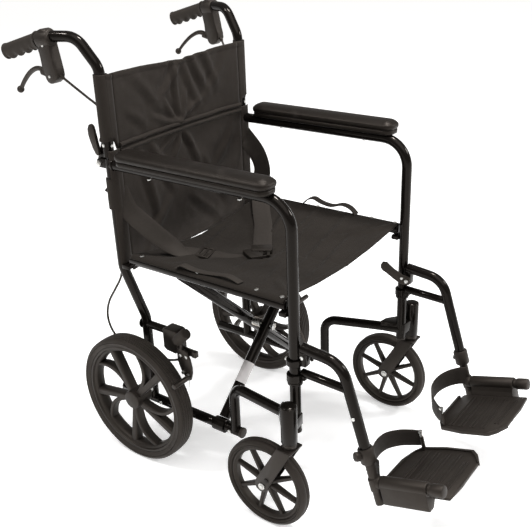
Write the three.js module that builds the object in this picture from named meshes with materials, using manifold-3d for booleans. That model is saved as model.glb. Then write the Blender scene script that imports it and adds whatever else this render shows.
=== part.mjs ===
// Folding transport wheelchair: two side frames, a cross brace, a fold-down back and swing-away footrests.
// Millimetres, +Z up. The chair faces -Y, and x = 0 is its middle plane. Left and right are the occupant's.
// Lengths along y are measured from the rear axle, and the whole chair is then moved so that the origin
// lies on the ground under the middle of its box.
import * as THREE from 'three';
import { mergeVertices } from 'three/addons/utils/BufferGeometryUtils.js';
import Module from 'manifold-3d';

// ---- Driving dimensions ----
const REAR_AXLE_Y = 248.165;       // rear axle's place in the finished frame
const GAP = 0.4;                  // clearance between pieces that touch
const TUBE_R = 11;                // frame tube
const TUBE_SIDES = 10;
const FRAME_X = 219;              // upper side frame and seat rails
const INNER_X = 180;              // lower rail and lower rear post
const FRONT_POST_Y = -429;
const REAR_POST_Y = 14;
const ARM_Z = 697;
const RAIL_Z = 123;               // lower rail, and the braces' lower pivots
const SEAT_Z = 493;               // seat rails
const SUPPORT_Z = 235;            // top of the caster support tube
const REAR_WHEEL = { radius: 152.5, x: 233, segments: 28 };
const CASTER = { radius: 98, x: 255, swivelY: -437, axleY: -380, segments: 20 };
const HEAD = { low: 218, high: 304, radius: 16.5 };
const BRACE_R = 12.5;
const BRACE_A_Y = -200;           // front bar of the cross brace
const BRACE_B_Y = -150;           // rear bar
const BACK_PIVOT = { y: 38, z: 698 };
const BACK_TOP_Z = 878;
const HANGER_X = 213;
const ELBOW = { y: -529, z: 399 };
const HANGER_FOOT = { y: -616, z: 122 };
const FOOT_PIVOT = { x: 210, y: -603, z: 165, length: 140, pitch: 16 };

// ---- Colours ----
const finish = (color, roughness, metalness) => ({ color, roughness, metalness });
const PAINT = finish(0x17130f, 0.25, 0.5);
const PLASTIC = finish(0x2a2622, 0.55, 0.0);
const RUBBER = finish(0x2e2a27, 0.75, 0.0);
const VINYL = finish(0x26211d, 0.4, 0.0);
const FABRIC = finish(0x241f1c, 0.85, 0.0);
const ZINC = finish(0xb8b8b4, 0.3, 1.0);

// ---- Solids ----
const wasm = await Module();
wasm.setup();
const at = (x, y, z) => new THREE.Vector3(x, y, z);

function solid(geometry) {
  const bare = geometry.clone();
  bare.deleteAttribute('normal');
  bare.deleteAttribute('uv');
  const merged = mergeVertices(bare, 1e-4);
  const vertProperties = new Float32Array(merged.attributes.position.array);
  const triVerts = new Uint32Array(merged.index.array);
  return new wasm.Manifold(new wasm.Mesh({ numProp: 3, vertProperties, triVerts }));
}

function geometryOf(body) {
  const { vertProperties, triVerts } = body.getMesh();
  const geometry = new THREE.BufferGeometry();
  geometry.setAttribute('position', new THREE.BufferAttribute(vertProperties, 3));
  geometry.setIndex(new THREE.BufferAttribute(triVerts, 1));
  return geometry;
}

const joined = (...pieces) => geometryOf(pieces.map(solid).reduce((all, next) => all.add(next)));
const cut = (base, ...tools) => geometryOf(
  tools.map(solid).reduce((left, tool) => left.subtract(tool), solid(base)),
);

// The same piece for the right-hand side.
function mirrored(geometry) {
  const copy = geometry.index ? geometry.toNonIndexed() : geometry.clone();
  const { array } = copy.attributes.position;
  for (let i = 0; i < array.length; i += 9) {
    for (let k = 0; k < 3; k++) {
      [array[i + 3 + k], array[i + 6 + k]] = [array[i + 6 + k], array[i + 3 + k]];
    }
  }
  for (let i = 0; i < array.length; i += 3) array[i] *= -1;
  return copy;
}

// A route through given points, one sweep step for each stretch.
class Route extends THREE.Curve {
  constructor(points) {
    super();
    this.points = points;
  }

  getPointAt(u, target = at(0, 0, 0)) {
    const place = u * (this.points.length - 1);
    const i = Math.min(Math.floor(place + 1e-6), this.points.length - 2);
    return target.lerpVectors(this.points[i], this.points[i + 1], place - i);
  }

  getTangentAt(u, target = at(0, 0, 0)) {
    const last = this.points.length - 1;
    const i = Math.round(u * last);
    return target.subVectors(this.points[Math.min(i + 1, last)], this.points[Math.max(i - 1, 0)]).normalize();
  }
}

// Corner points with each inner corner turned into an arc.
function bent(corners, radius, step = THREE.MathUtils.degToRad(26)) {
  const points = [corners[0]];
  for (let i = 1; i < corners.length - 1; i++) {
    const back = corners[i - 1].clone().sub(corners[i]).normalize();
    const onward = corners[i + 1].clone().sub(corners[i]).normalize();
    const turn = Math.PI - back.angleTo(onward);
    const middle = back.clone().add(onward).normalize();
    const centre = corners[i].clone().addScaledVector(middle, radius / Math.cos(turn / 2));
    const spoke = corners[i].clone().addScaledVector(back, radius * Math.tan(turn / 2)).sub(centre);
    const axis = onward.clone().cross(back).normalize();
    const steps = Math.max(1, Math.ceil(turn / step));
    for (let k = 0; k <= steps; k++) {
      points.push(spoke.clone().applyAxisAngle(axis, turn * k / steps).add(centre));
    }
  }
  points.push(corners.at(-1));
  return points;
}

function circle(radius, sides) {
  return Array.from({ length: sides }, (_, i) => {
    const angle = 2 * Math.PI * (i + 0.5) / sides;
    return new THREE.Vector2(radius * Math.cos(angle), radius * Math.sin(angle));
  });
}

// A round bar along points.
function tube(points, radius, sides = TUBE_SIDES) {
  const section = new THREE.Shape(circle(radius, sides));
  const extrudePath = new Route(points);
  return new THREE.ExtrudeGeometry(section, { steps: points.length - 1, extrudePath, bevelEnabled: false });
}

const rodX = (x0, x1, y, z, radius, sides) => tube([at(x0, y, z), at(x1, y, z)], radius, sides);
const rodZ = (x, y, z0, z1, radius, sides) => tube([at(x, y, z0), at(x, y, z1)], radius, sides);

function prism(outline, depth) {
  const shape = new THREE.Shape(outline.map(([a, b]) => new THREE.Vector2(a, b)));
  return new THREE.ExtrudeGeometry(shape, { depth, bevelEnabled: false });
}

// Flat plates: outline in (y, z) between two x, in (x, y) between two z, and in (x, z) between two y.
function plateX(outline, x0, x1) {
  const turn = new THREE.Matrix4().makeBasis(at(0, 1, 0), at(0, 0, 1), at(1, 0, 0));
  return prism(outline, x1 - x0).applyMatrix4(turn).translate(x0, 0, 0);
}
const plateZ = (outline, z0, z1) => prism(outline, z1 - z0).translate(0, 0, z0);
function plateY(outline, y0, y1) {
  const turn = new THREE.Matrix4().makeBasis(at(1, 0, 0), at(0, 0, 1), at(0, -1, 0));
  return prism(outline, y1 - y0).applyMatrix4(turn).translate(0, y1, 0);
}
function block(x0, x1, y0, y1, z0, z1) {
  return new THREE.BoxGeometry(x1 - x0, y1 - y0, z1 - z0)
    .translate((x0 + x1) / 2, (y0 + y1) / 2, (z0 + z1) / 2);
}

// A turned piece: a closed profile of [radius, distance along x] turned about the x axis.
function turned(profile, segments) {
  const points = [...profile, profile[0]].reverse().map(([r, along]) => new THREE.Vector2(r, along));
  return new THREE.LatheGeometry(points, segments).rotateZ(-Math.PI / 2);
}

// ---- Side frame ----
const rearPostRoute = bent([at(FRAME_X, REAR_POST_Y, 709), at(FRAME_X, REAR_POST_Y - 2, 470),
  at(INNER_X, 0, 335), at(INNER_X, 0, RAIL_Z)], 60);
const armRoute = bent([at(FRAME_X, REAR_POST_Y, ARM_Z), at(FRAME_X, FRONT_POST_Y, ARM_Z),
  at(FRAME_X, FRONT_POST_Y, 221)], 58);
const supportRoute = bent([at(INNER_X, -242, RAIL_Z), at(INNER_X, -242, SUPPORT_Z),
  at(FRAME_X, FRONT_POST_Y, SUPPORT_Z + 12)], 32);

function sideFrame() {
  const rail = tube([at(INNER_X, 95, RAIL_Z), at(INNER_X, -258, RAIL_Z)], TUBE_R);
  const head = rodZ(CASTER.x, CASTER.swivelY, HEAD.low, HEAD.high, HEAD.radius, 16);
  const gusset = plateZ([[200, -384], [212, -441], [258, -446], [258, -426], [232, -404]], 236, 262);
  const lockTube = tube([at(INNER_X, 0, 318), at(INNER_X, -104, 318)], 9);
  const ear = [[14, 688], [46, 688], [48, 698], [44, 708], [14, 708]];
  const ears = [212, 222.6].map((x) => plateX(ear, x, x + 3.4));
  const pin = rodX(211, 227, BACK_PIVOT.y, BACK_PIVOT.z, 4, 10);
  const saddles = [[-419, -402], [-16, 5]].map(([y0, y1]) => block(208, 230, y0, y1, 472, 481));
  const collar = rodZ(FRAME_X, FRONT_POST_Y, 329, 335.4, 15, 12);
  return joined(tube(rearPostRoute, TUBE_R), tube(armRoute, TUBE_R), tube(supportRoute, TUBE_R), rail, head,
    gusset, lockTube, pin, collar, ...ears, ...saddles);
}

const armPad = () => {
  const half = 25;
  const outline = [];
  for (const [cx, cy, from] of [[half, -396, 180], [half, -22, 0]]) {
    for (let i = 0; i <= 6; i++) {
      const angle = THREE.MathUtils.degToRad(from + 30 * i);
      const y = from ? cy + half + half * Math.sin(angle) : cy - half + half * Math.sin(angle);
      outline.push([FRAME_X + 8 + half * Math.cos(angle), y]);
    }
  }
  const lower = plateZ(outline, ARM_Z + TUBE_R + GAP, 729);
  const middle = at(FRAME_X + 8, -209, 0);
  const inner = outline.map(([x, y]) => [middle.x + (x - middle.x) * 0.84, middle.y + (y - middle.y) * 0.98]);
  return joined(lower, plateZ(inner, 728, 738));
};

// ---- Wheels, made about the x axis and placed on their axles ----
function spoke(inner, outer, rootWidth, tipWidth, thickness, sweep, steps) {
  const edge = (side) => Array.from({ length: steps + 1 }, (_, i) => {
    const share = i / steps;
    const radius = inner + (outer - inner) * share;
    const half = (rootWidth + (tipWidth - rootWidth) * share) / 2;
    const angle = sweep * share * share + side * half / radius;
    return [radius * Math.cos(angle), radius * Math.sin(angle)];
  });
  return plateX([...edge(-1), ...edge(1).reverse()], -thickness / 2, thickness / 2);
}

function wheel({
  rimInner, rimOuter, rimWidth, hub, hubFrom, hubTo, bore, boreTo, count, spokeOf, segments,
}) {
  const rim = turned([[rimInner, -rimWidth / 2], [rimInner, rimWidth / 2],
    [rimOuter, rimWidth / 2], [rimOuter, -rimWidth / 2]], segments);
  const arms = Array.from({ length: count }, (_, i) => spokeOf().rotateX(2 * Math.PI * i / count));
  const core = rodX(hubFrom, hubTo, 0, 0, hub, 16);
  return cut(joined(rim, core, ...arms), rodX(hubFrom - 1, boreTo, 0, 0, bore, 12));
}

const rearTyre = () => turned([[133, -17], [133, 17], [146, 21], [150.5, 17], [152.5, 8],
  [152.5, -8], [150.5, -17], [146, -21]], REAR_WHEEL.segments);
const rearWheel = () => wheel({
  rimInner: 120, rimOuter: 132.6, rimWidth: 36, hub: 21, hubFrom: -28, hubTo: 20, bore: 6.8, boreTo: 14,
  count: 5, segments: REAR_WHEEL.segments, spokeOf: () => spoke(17, 123, 20, 13, 22, 0.55, 4),
});
const casterTyre = () => turned([[84, -11], [84, 11], [92, 14], [98, 7], [98, -7], [92, -14]],
  CASTER.segments);
const casterWheel = () => wheel({
  rimInner: 74, rimOuter: 83.6, rimWidth: 20, hub: 14, hubFrom: -15.5, hubTo: 15.5, bore: 4.8, boreTo: 16.5,
  count: 8, segments: CASTER.segments, spokeOf: () => spoke(10, 77, 11, 8, 9, 0, 1),
});

const rearAxle = () => joined(rodX(INNER_X + TUBE_R + GAP, 204.4, 0, REAR_WHEEL.radius, 9, 12),
  rodX(204, 245, 0, REAR_WHEEL.radius, 6, 12));

function casterFork() {
  const { x, swivelY: y } = CASTER;
  const leg = [[y - 17, 206], [y + 17, 206], [-364, 108], [-363, 90], [-376, 82], [-391, 87]];
  const legs = [x - 20.5, x + 17.5].map((low) => plateX(leg, low, low + 3));
  const crown = block(x - 20.5, x + 20.5, y - 17, y + 17, 202, 206);
  const stem = rodZ(x, y, 205, HEAD.low - GAP, 13, 12);
  return cut(joined(...legs, crown, stem), rodX(x - 30, x + 30, CASTER.axleY, CASTER.radius, 4.6, 12));
}
const casterAxle = () => joined(rodX(CASTER.x - 23, CASTER.x + 23, CASTER.axleY, CASTER.radius, 4, 10),
  rodX(CASTER.x - 25, CASTER.x - 21, CASTER.axleY, CASTER.radius, 7.5, 10),
  rodX(CASTER.x + 21, CASTER.x + 25, CASTER.axleY, CASTER.radius, 7.5, 10));

// ---- Cross brace: each bar turns on one lower rail and carries the opposite seat rail ----
const barLine = (y) => [at(-INNER_X, y, RAIL_Z), at(FRAME_X, y, SEAT_Z)];
const CROSSING_Z = RAIL_Z + (SEAT_Z - RAIL_Z) * INNER_X / (INNER_X + FRAME_X);
const seatRail = () => tube([at(FRAME_X, -18, SEAT_Z), at(FRAME_X, -415, SEAT_Z)], TUBE_R);

function braceWithRail(y) {
  const sleeve = tube([at(-INNER_X, y - 16, RAIL_Z), at(-INNER_X, y + 16, RAIL_Z)], 15.5);
  const railBore = tube([at(-INNER_X, y - 20, RAIL_Z), at(-INNER_X, y + 20, RAIL_Z)], 12.2);
  const bolt = tube([at(0, y - 20, CROSSING_Z), at(0, y + 20, CROSSING_Z)], 5.6);
  return cut(joined(tube(barLine(y), BRACE_R), sleeve, seatRail()), railBore, bolt);
}
// Bolt through the crossing, with a head, a nut and a spacer between the bars.
function pivotBolt() {
  const along = (y0, y1, radius) => tube([at(0, y0, CROSSING_Z), at(0, y1, CROSSING_Z)], radius);
  return joined(along(-222, -128, 4.8), along(-223, -217, 9), along(-133, -127, 9), along(-186, -164, 10));
}

// Half of the seat sling, from the middle to the rail, sagging towards the middle.
function seatHalf() {
  const edge = [[2, 477], [70, 480], [150, 489], [204, 502]];
  const outline = [...edge, ...edge.map(([x, z]) => [x, z - 5]).reverse()];
  const fat = (line) => tube(line, BRACE_R + 1.5);
  const other = barLine(BRACE_B_Y).map((p) => at(-p.x, p.y, p.z));
  return cut(plateY(outline, -408, -20), fat(barLine(BRACE_A_Y)), fat(other), fat(barLine(BRACE_B_Y)));
}

// ---- Back ----
const caneRoute = bent([at(FRAME_X, 16, 713), at(FRAME_X, 17, 890), at(231, 58, 948), at(250, 120, 948),
  at(252, 143, 941)], 42);
const HANDLE_END = at(254, 249, 911);

function backCane() {
  const outline = [[18, 716], [18, 745], [30, 745], [47, 706], [46, 690], [31, 689], [29, 712]];
  const tongue = plateX(outline, 216.4, 222);
  const pivot = rodX(205, 235, BACK_PIVOT.y, BACK_PIVOT.z, 4.6, 10);
  return cut(joined(tube(caneRoute, TUBE_R), tongue), pivot);
}
const gripStart = at(252, 143, 941).lerp(HANDLE_END, 0.01);
const handGrip = () => tube([gripStart, HANDLE_END], 15, 14);

function brakeHousing() {
  const outline = [[105, 930], [99, 903], [94, 886], [93, 873], [107, 858], [120, 859], [131, 868],
    [133.5, 890], [139, 906], [141, 920], [138, 930], [138, 956], [126, 964], [108, 960]];
  return cut(plateX(outline, 234, 266), tube(caneRoute, TUBE_R + 1));
}
function brakeLever() {
  const route = bent([at(250, 141, 878), at(250, 160, 882), at(249, 200, 862), at(246, 229, 834)], 30);
  const ball = new THREE.SphereGeometry(8, 10, 6).translate(246, 231, 833);
  return joined(tube(route, 4.5, 8), ball, rodX(243, 257, 141, 878, 6, 10));
}
const backReleaseLever = () => plateX([[33, 716], [43, 714], [50, 740], [53, 768], [48, 776], [41, 771],
  [40, 745]], 222.6, 229.6);

// Upright sheet between the posts, bowed towards the rear.
function backPanel(z0, z1, bow) {
  const steps = 8;
  const edge = Array.from({ length: steps + 1 }, (_, i) => {
    const share = i / steps * 2 - 1;
    return [share * 203, 9 + bow * (1 - share * share)];
  });
  return plateZ([...edge, ...edge.map(([x, y]) => [x, y + 5]).reverse()], z0, z1);
}

// ---- Wheel lock, worked by the hand brake's cable ----
const lockBracket = () => cut(block(INNER_X - 14, INNER_X + 16, -104, -62, 276, 331),
  tube([at(INNER_X, 10, 318), at(INNER_X, -104.5, 318)], 9 + GAP), block(160, 200, -110, -50, 308, 340));
function wheelLock() {
  const outline = [[-112, 302], [-134, 302], [-147, 282], [-150, 250], [-146, 232], [-134, 230], [-120, 250],
    [-112, 272]];
  const shoe = rodX(203, 256, -140.2, 238.2, 6, 12);
  const stem = rodZ(205.5, -122, 298, 330, 4, 8);
  const grip = tube([at(205.5, -112, 318), at(205.5, -142, 346)], 12.5);
  return joined(plateX(outline, 203, 208), shoe, stem, grip);
}

// ---- Footrest: swing-away hanger, sliding extension, flip-up plate ----
const hangerDown = at(0, HANGER_FOOT.y - ELBOW.y, HANGER_FOOT.z - ELBOW.z).normalize();
const onHanger = (z) => at(HANGER_X, ELBOW.y, ELBOW.z)
  .addScaledVector(hangerDown, (z - ELBOW.z) / hangerDown.z);

function hanger() {
  const route = bent([at(HANGER_X, -444, 408), at(HANGER_X, ELBOW.y, ELBOW.z), onHanger(206)], 48);
  const arm = tube([at(HANGER_X, -442, 354), onHanger(350)], 8);
  const upper = block(203, 224, -456, -436, 371, 412);
  const lower = block(205, 221, -450, -436, 340, 352);
  const rings = [[371, 384], [336, 352]].map(([z0, z1]) => rodZ(FRAME_X, FRONT_POST_Y, z0, z1, 16.5, 12));
  const clamp = tube([onHanger(236), onHanger(206)], 15.5);
  const knob = tube([onHanger(221), onHanger(221).add(at(22, 14, 4))], 8);
  const postBore = rodZ(FRAME_X, FRONT_POST_Y, 300, 430, 12.4, 12);
  const slideBore = tube([onHanger(345), onHanger(190)], 10);
  return cut(joined(tube(route, TUBE_R), arm, upper, lower, clamp, knob, ...rings), postBore, slideBore);
}
// Upright paddle that points back and inwards past the front post, on a short pin.
function hangerRelease() {
  const along = at(-0.42, 0.9075, 0);
  const across = at(0.9075, 0.42, 0);
  const place = new THREE.Matrix4().makeBasis(along, at(0, 0, 1), across);
  const outline = [[-4, 374], [14, 376], [30, 388], [46, 404], [56, 410], [60, 422], [54, 430], [44, 428],
    [30, 412], [10, 396], [-6, 392]];
  place.setPosition(at(196, -452, 0).addScaledVector(across, -2.5));
  const pin = [-4.5, 5.2].map((reach) => at(194.7, -449.3, 384).addScaledVector(across, reach));
  return joined(prism(outline, 5).applyMatrix4(place), tube(pin, 4, 10));
}

const pitch = THREE.MathUtils.degToRad(FOOT_PIVOT.pitch);
const footForward = at(0, -Math.cos(pitch), Math.sin(pitch));
const footUp = at(0, Math.sin(pitch), Math.cos(pitch));
const onFootPivot = (along) => at(FOOT_PIVOT.x, FOOT_PIVOT.y, FOOT_PIVOT.z)
  .addScaledVector(footForward, along);
// (inwards, forwards) in the plate's plane, thickness upwards, from the pivot line.
function footPlate(outline, low, high) {
  const basis = new THREE.Matrix4().makeBasis(at(-1, 0, 0), footForward, footUp);
  basis.setPosition(onFootPivot(0).addScaledVector(footUp, low));
  return prism(outline, high - low).applyMatrix4(basis);
}
function extension() {
  const inner = tube([onHanger(302), onHanger(122)], 9.2);
  const pin = tube([at(HANGER_X, -600, 164), onFootPivot(2), onFootPivot(FOOT_PIVOT.length)], 6);
  const shoulder = tube([onFootPivot(-4), onFootPivot(13)], 12);
  const knob = tube([onFootPivot(112.4), onFootPivot(FOOT_PIVOT.length + 4)], 12.5);
  return joined(inner, pin, shoulder, knob);
}
function footrest() {
  const tread = footPlate([[14, 14], [22, -4], [115, -8], [165, 12], [173, 119], [136, 144], [14, 142]],
    -29, -22);
  const strip = (near, far, low, high) => footPlate([[near, 15], [far, 15], [far, 111], [near, 111]],
    low, high);
  const skirt = [strip(-13.4, -8, -42, 0), strip(-13.4, 8, -42, -37), strip(4, 8, -42, -6),
    strip(4, 18, -28, -6)];
  const barrel = tube([onFootPivot(13.6), onFootPivot(112)], 13.5);
  const post = footPlate([[158, 14], [165, 14], [165, 21], [158, 21]], -23, 8);
  return cut(joined(tread, barrel, post, ...skirt), tube([onFootPivot(0), onFootPivot(140)], 7));
}
// Heel strap, bowed towards the rear between the extension tube and the plate's post.
function heelLoop() {
  const line = [[195, -598], [176, -578], [140, -566], [104, -566], [72, -582], [56, -606]];
  const outline = [...line, ...line.map(([x, y]) => [x - (x - 125) * 0.03, y - 3]).reverse()];
  return plateZ(outline, 160, 197);
}

// ---- Soft goods and cables ----
const CABLE = [[249, 90, 870], [237, 71, 850], [225, 52.5, 830], [214, 36, 811], [208, 32, 788],
  [206.5, 31.5, 740], [206.5, 31.5, 680], [206.5, 31, 620], [206.5, 31, 560], [206.5, 30.5, 500],
  [205.5, 31, 465], [203.5, 42, 430], [202, 66, 395], [201, 92, 357], [200, 104, 322], [200, 100, 292],
  [200, 82, 268], [200, 50, 256], [200, 10, 251], [200, -40, 252], [200, -80, 258], [199, -104, 266]];
function brakeCable() {
  const curve = new THREE.CatmullRomCurve3(CABLE.map((p) => at(...p)), false, 'catmullrom', 0.5);
  return tube(curve.getSpacedPoints(34), 2.5, 8);
}

// Lap belt half: a flat strap that drops from the rear post and lies forwards over the seat.
function beltHalf(reach) {
  const line = [[0, 0], [-24, -52], [-62, -98], [-110, -128], [-170, -135], [-reach, -136]];
  const outline = [...line, ...line.map(([y, z]) => [y - 1.5, z + 3]).reverse()];
  return plateX(outline, -19, 19).rotateZ(-0.62).translate(184, -22, 640);
}

// ---- Assembly ----
const chair = new THREE.Group();
chair.position.y = REAR_AXLE_Y;

function add(name, geometry, look, place = [0, 0, 0]) {
  const mesh = new THREE.Mesh(geometry, new THREE.MeshStandardMaterial(look));
  mesh.name = name;
  mesh.position.set(...place);
  chair.add(mesh);
}

for (const [side, sign] of [['right', -1], ['left', 1]]) {
  const sided = (geometry) => (sign > 0 ? geometry : mirrored(geometry));
  const put = (name, geometry, look) => add(`${name}_${side}`, sided(geometry), look);
  put('side_frame', sideFrame(), PAINT);
  put('armrest_pad', armPad(), VINYL);
  put('rear_axle', rearAxle(), ZINC);
  const rearPlace = [sign * REAR_WHEEL.x, 0, REAR_WHEEL.radius];
  const casterPlace = [sign * CASTER.x, CASTER.axleY, CASTER.radius];
  add(`rear_wheel_${side}`, sided(rearWheel()), PLASTIC, rearPlace);
  add(`rear_tyre_${side}`, rearTyre(), RUBBER, rearPlace);
  put('caster_fork', casterFork(), PAINT);
  put('caster_axle', casterAxle(), ZINC);
  add(`caster_wheel_${side}`, casterWheel(), PLASTIC, casterPlace);
  add(`caster_tyre_${side}`, casterTyre(), RUBBER, casterPlace);
  put('back_cane', backCane(), PAINT);
  put('hand_grip', handGrip(), RUBBER);
  put('brake_housing', brakeHousing(), PLASTIC);
  put('brake_lever', brakeLever(), PLASTIC);
  put('back_release_lever', backReleaseLever(), PLASTIC);
  put('brake_cable', brakeCable(), PLASTIC);
  put('wheel_lock_bracket', lockBracket(), PLASTIC);
  put('wheel_lock', wheelLock(), PLASTIC);
  put('hanger', hanger(), PAINT);
  put('hanger_release', hangerRelease(), PLASTIC);
  put('extension', extension(), PLASTIC);
  put('footplate', footrest(), PLASTIC);
  put('heel_loop', heelLoop(), FABRIC);
  put('seat_half', seatHalf(), FABRIC);
  put('belt_half', beltHalf(sign > 0 ? 205 : 240), FABRIC);
}
add('brace_a', braceWithRail(BRACE_A_Y), PAINT);
add('brace_b', mirrored(braceWithRail(BRACE_B_Y)), PAINT);
add('pivot_bolt', pivotBolt(), ZINC);
add('back_upper', backPanel(730, BACK_TOP_Z, 12), FABRIC);
add('back_lower', backPanel(455, 727, 16), FABRIC);

export default chair;
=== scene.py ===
from math import ceil, cos, exp, hypot, pi, radians, sin, sqrt, tan

import bmesh
import bpy
from mathutils import Matrix, Vector, noise


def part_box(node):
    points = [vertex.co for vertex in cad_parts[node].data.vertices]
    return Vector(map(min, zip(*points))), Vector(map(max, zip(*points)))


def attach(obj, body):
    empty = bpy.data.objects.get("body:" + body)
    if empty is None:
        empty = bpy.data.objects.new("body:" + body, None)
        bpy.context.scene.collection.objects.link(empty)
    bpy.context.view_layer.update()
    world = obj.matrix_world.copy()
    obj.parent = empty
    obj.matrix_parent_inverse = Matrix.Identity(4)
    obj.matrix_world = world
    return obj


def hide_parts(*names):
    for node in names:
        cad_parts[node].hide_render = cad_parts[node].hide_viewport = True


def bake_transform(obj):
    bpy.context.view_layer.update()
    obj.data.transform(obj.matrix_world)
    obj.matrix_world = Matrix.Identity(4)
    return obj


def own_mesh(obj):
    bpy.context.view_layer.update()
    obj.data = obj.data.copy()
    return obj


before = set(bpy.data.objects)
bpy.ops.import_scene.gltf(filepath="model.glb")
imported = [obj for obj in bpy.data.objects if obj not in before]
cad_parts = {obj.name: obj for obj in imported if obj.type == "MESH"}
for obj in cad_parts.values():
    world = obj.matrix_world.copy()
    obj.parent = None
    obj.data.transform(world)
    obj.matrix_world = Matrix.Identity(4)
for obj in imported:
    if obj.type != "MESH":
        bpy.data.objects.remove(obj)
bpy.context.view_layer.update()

# ---- sizes, in millimetres
# x is measured from the middle plane, y from the rear axle with forwards -y, z from the ground.
MM = 0.001
tyre_low, tyre_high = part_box("rear_tyre_left")
AXLE_Y = (tyre_low.y + tyre_high.y) / 2
WHEEL_R = (tyre_high.z - tyre_low.z) / 2 / MM
WHEEL_X = (tyre_low.x + tyre_high.x) / 2 / MM
caster_low, caster_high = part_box("caster_tyre_left")
CASTER_R = (caster_high.z - caster_low.z) / 2 / MM
CASTER_X = (caster_low.x + caster_high.x) / 2 / MM
CASTER_Y = ((caster_low.y + caster_high.y) / 2 - AXLE_Y) / MM
TUBE_R = 11
FRAME_X = 219             # posts, arms and seat rails
INNER_X = 180             # lower rails
FRONT_POST_Y = -429
REAR_POST_Y = 14
ARM_Z = 697
RAIL_Z = 123
SEAT_Z = 493
SEAT_FRONT, SEAT_BACK = -415, -18
BACK_LOW, CREASE_Z, BACK_TOP = 456, 727, 878
SWIVEL_Y = -437           # the caster's swivel
ELBOW = (-529, 399)       # (y, z) where the footrest hanger turns down
HANGER_X = 213
HANGER_SLOPE = 87 / 277
FOOT_PIVOT = Vector((210, -603, 165))
FOOT_PITCH = radians(16)
COLUMNS = 88              # steps across the seat and the back, rail to rail and post to post
SEAT_ROWS = 100           # steps from the seat's front to its back
SEAM_COLUMN = 4           # the seam beside each post is this many steps in
SEAM_X = FRAME_X * (1 - 2 * SEAM_COLUMN / COLUMNS)
SEAT_BRACE = {-1: "rear_brace", 1: "front_brace"}      # carries the seat's half on that side
BELT_BRACE = {-1: "front_brace", 1: "rear_brace"}      # hinged on that side's frame

# ---- camera
CAMERA_AZIMUTH, CAMERA_ELEVATION, CAMERA_ROLL = (radians(a) for a in (-53.1, 24.32, -2.16))
CAMERA_PLACE = Vector((-1.3206, -1.1989 + AXLE_Y, 1.1829))
CAMERA_LENS = 55.6


def linked(name, data):
    made = bpy.data.objects.new(name, data)
    bpy.context.scene.collection.objects.link(made)
    return made


def set_camera():
    data = bpy.data.cameras.new("camera")
    data.lens = CAMERA_LENS
    data.sensor_width = 36
    data.shift_x, data.shift_y = -0.0019, 0.006
    camera = linked("camera", data)
    turn = Matrix.Rotation(CAMERA_AZIMUTH, 4, "Z") @ Matrix.Rotation(pi / 2 - CAMERA_ELEVATION, 4, "X")
    camera.matrix_world = Matrix.Translation(CAMERA_PLACE) @ turn @ Matrix.Rotation(CAMERA_ROLL, 4, "Z")
    bpy.context.scene.camera = camera


def set_lights():
    def area(name, place, target, size, power):
        light = bpy.data.lights.new(name, "AREA")
        light.shape, light.size, light.energy = "DISK", size, power
        lamp = linked(name, light)
        lamp.location = place
        lamp.rotation_euler = (Vector(target) - Vector(place)).to_track_quat("-Z", "Y").to_euler()
    area("key_light", (-1.5, 1.2, 3.0), (0, 0, 0.5), 0.35, 34)
    area("fill_light", (1.9, -2.3, 2.1), (0, 0, 0.4), 0.7, 44)
    area("top_light", (0.3, -0.3, 3.1), (0, 0, 0.5), 0.5, 60)
    sun = bpy.data.lights.new("even_light", "SUN")
    sun.energy, sun.angle = 1.3, radians(60)
    linked("even_light", sun).rotation_euler = (radians(25), radians(-20), 0)
    world = bpy.data.worlds.new("studio")
    world.use_nodes = True
    world.node_tree.nodes["Background"].inputs[0].default_value = (1, 0.97, 0.94, 1)
    world.node_tree.nodes["Background"].inputs[1].default_value = 0.3
    bpy.context.scene.world = world
    bpy.context.scene.view_settings.view_transform = "Standard"


def set_floor():
    bpy.ops.mesh.primitive_plane_add(size=120, location=(0, 0, 0))
    floor = bpy.context.object
    floor.name = "floor"
    material = bpy.data.materials.new("floor_white")
    material.use_nodes = True
    shader = material.node_tree.nodes["Principled BSDF"]
    shader.inputs["Base Color"].default_value = (0.93, 0.93, 0.93, 1)
    shader.inputs["Roughness"].default_value = 0.9
    shader.inputs["Emission Color"].default_value = (1, 1, 1, 1)
    shader.inputs["Emission Strength"].default_value = 0.4
    floor.data.materials.append(material)


# ---- materials
WARM = (1, 0.87, 0.76, 1)


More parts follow.
